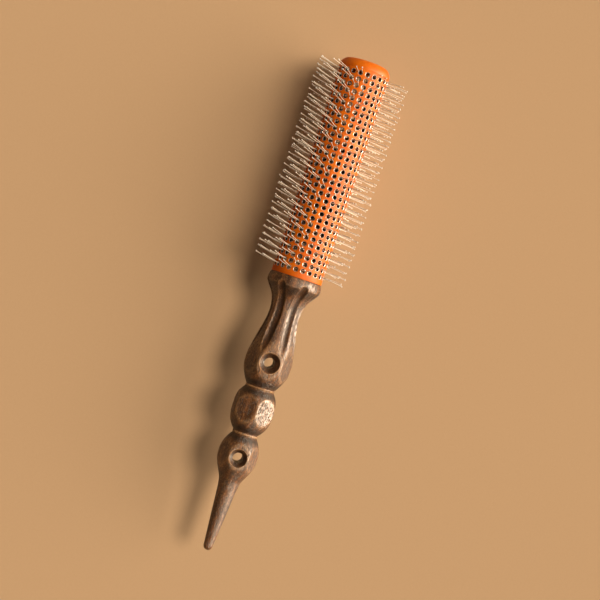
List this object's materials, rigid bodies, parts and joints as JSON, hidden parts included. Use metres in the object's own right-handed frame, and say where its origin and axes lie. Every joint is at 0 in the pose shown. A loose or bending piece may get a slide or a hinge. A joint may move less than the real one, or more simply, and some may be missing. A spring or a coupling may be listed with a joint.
{
  "type": "round barrel hair brush",
  "caption": "Round hair brush: vented orange barrel with ball-tipped nylon bristles on a faceted, fluted dark wooden handle that tapers to a point.",
  "frame": {"origin": "on the brush axis, half way along the brush", "axes": "+X along the brush axis towards the end cap, +Z along the hang holes, up as the brush lies"},
  "size_m": [0.2758, 0.0514, 0.0514],
  "materials": {
    "stained_wood": "dark stain under satin varnish, worn paler on the edges",
    "orange_coat": "satin ceramic coat over aluminium, bare metal at the edges of the vents",
    "orange_plastic": "smooth moulded plastic, soft gloss",
    "bristle_nylon": "translucent nylon with rounded ball tips",
    "core_steel": "drawn wire",
    "ferrule_steel": "plain turned"
  },
  "bodies": {
    "root": {"handle": "stained_wood", "barrel_tube": "orange_coat", "end_cap": "orange_plastic", "core_wire_a": "core_steel", "core_wire_b": "core_steel", "handle_ferrule": "ferrule_steel", "cap_ferrule": "ferrule_steel", "bristle_column_01": "bristle_nylon", "bristle_column_02": "bristle_nylon", "bristle_column_03": "bristle_nylon", "bristle_column_04": "bristle_nylon", "bristle_column_05": "bristle_nylon", "bristle_column_06": "bristle_nylon", "bristle_column_07": "bristle_nylon", "bristle_column_08": "bristle_nylon", "bristle_column_09": "bristle_nylon", "bristle_column_10": "bristle_nylon", "bristle_column_11": "bristle_nylon", "bristle_column_12": "bristle_nylon", "bristle_column_13": "bristle_nylon", "bristle_column_14": "bristle_nylon", "bristle_column_15": "bristle_nylon", "bristle_column_16": "bristle_nylon", "bristle_column_17": "bristle_nylon", "bristle_column_18": "bristle_nylon", "bristle_column_19": "bristle_nylon", "bristle_column_20": "bristle_nylon", "bristle_column_21": "bristle_nylon", "bristle_column_22": "bristle_nylon"}
  },
  "joints": []
}
